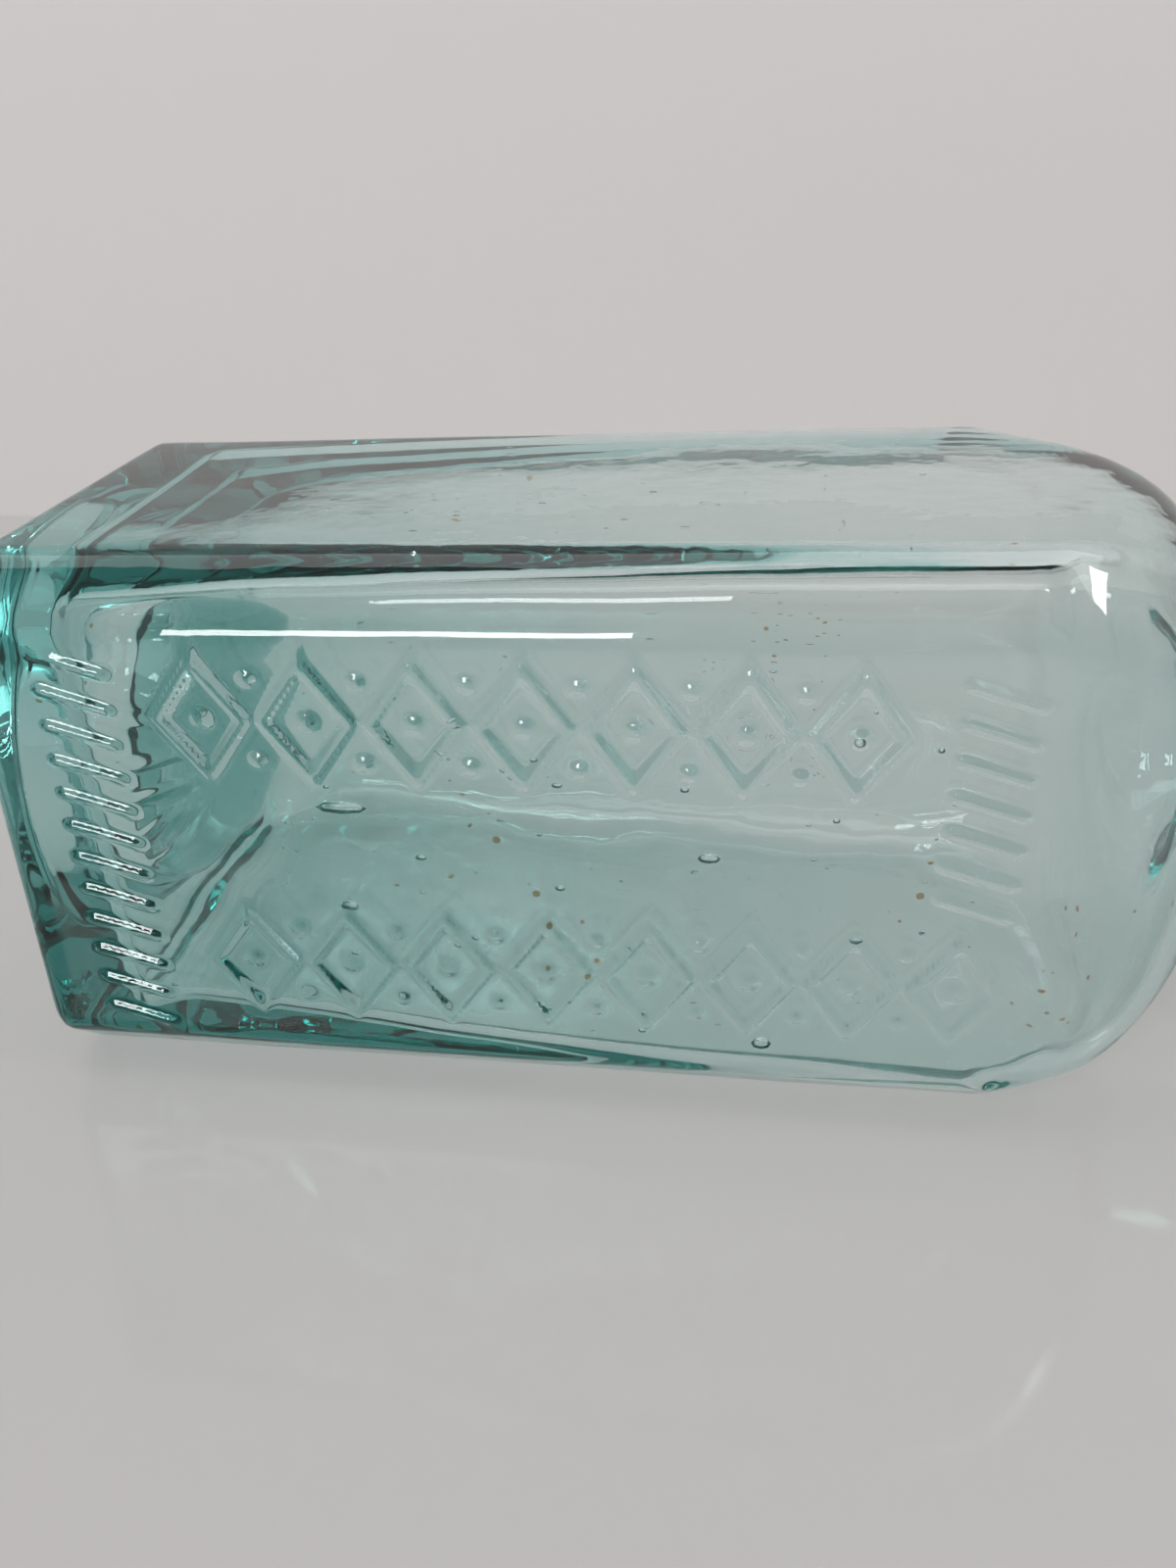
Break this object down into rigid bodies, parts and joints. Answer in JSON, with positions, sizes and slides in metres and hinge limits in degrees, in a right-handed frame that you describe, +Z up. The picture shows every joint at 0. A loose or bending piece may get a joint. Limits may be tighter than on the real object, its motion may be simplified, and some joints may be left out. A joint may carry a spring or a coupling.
{
  "type": "gin bottle",
  "caption": "Square aqua glass bottle lying on one side, with raised lozenges and ribs on its front, cut corners, a round shoulder, a neck with a tapered collar and a cork that pulls out.",
  "frame": {"origin": "on the surface that the bottle lies on, under the middle of its overall box", "axes": "+X lengthwise from the base to the mouth, +Y away from the front face, +Z up; the bottle's own axis rises towards the mouth by the slope of its tapered side"},
  "size_m": [0.2318, 0.0846, 0.0846],
  "materials": {
    "aqua_glass": "gloss",
    "cork": "matte"
  },
  "bodies": {
    "bottle": {"glass_bottle": "aqua_glass"},
    "cork": {"cork_stopper": "cork"}
  },
  "joints": [
    {"name": "cork_pull", "type": "slide", "parent": "bottle", "child": "cork", "axis": [0.9998, 0, 0.0221], "range_m": [0, 0.032]}
  ]
}
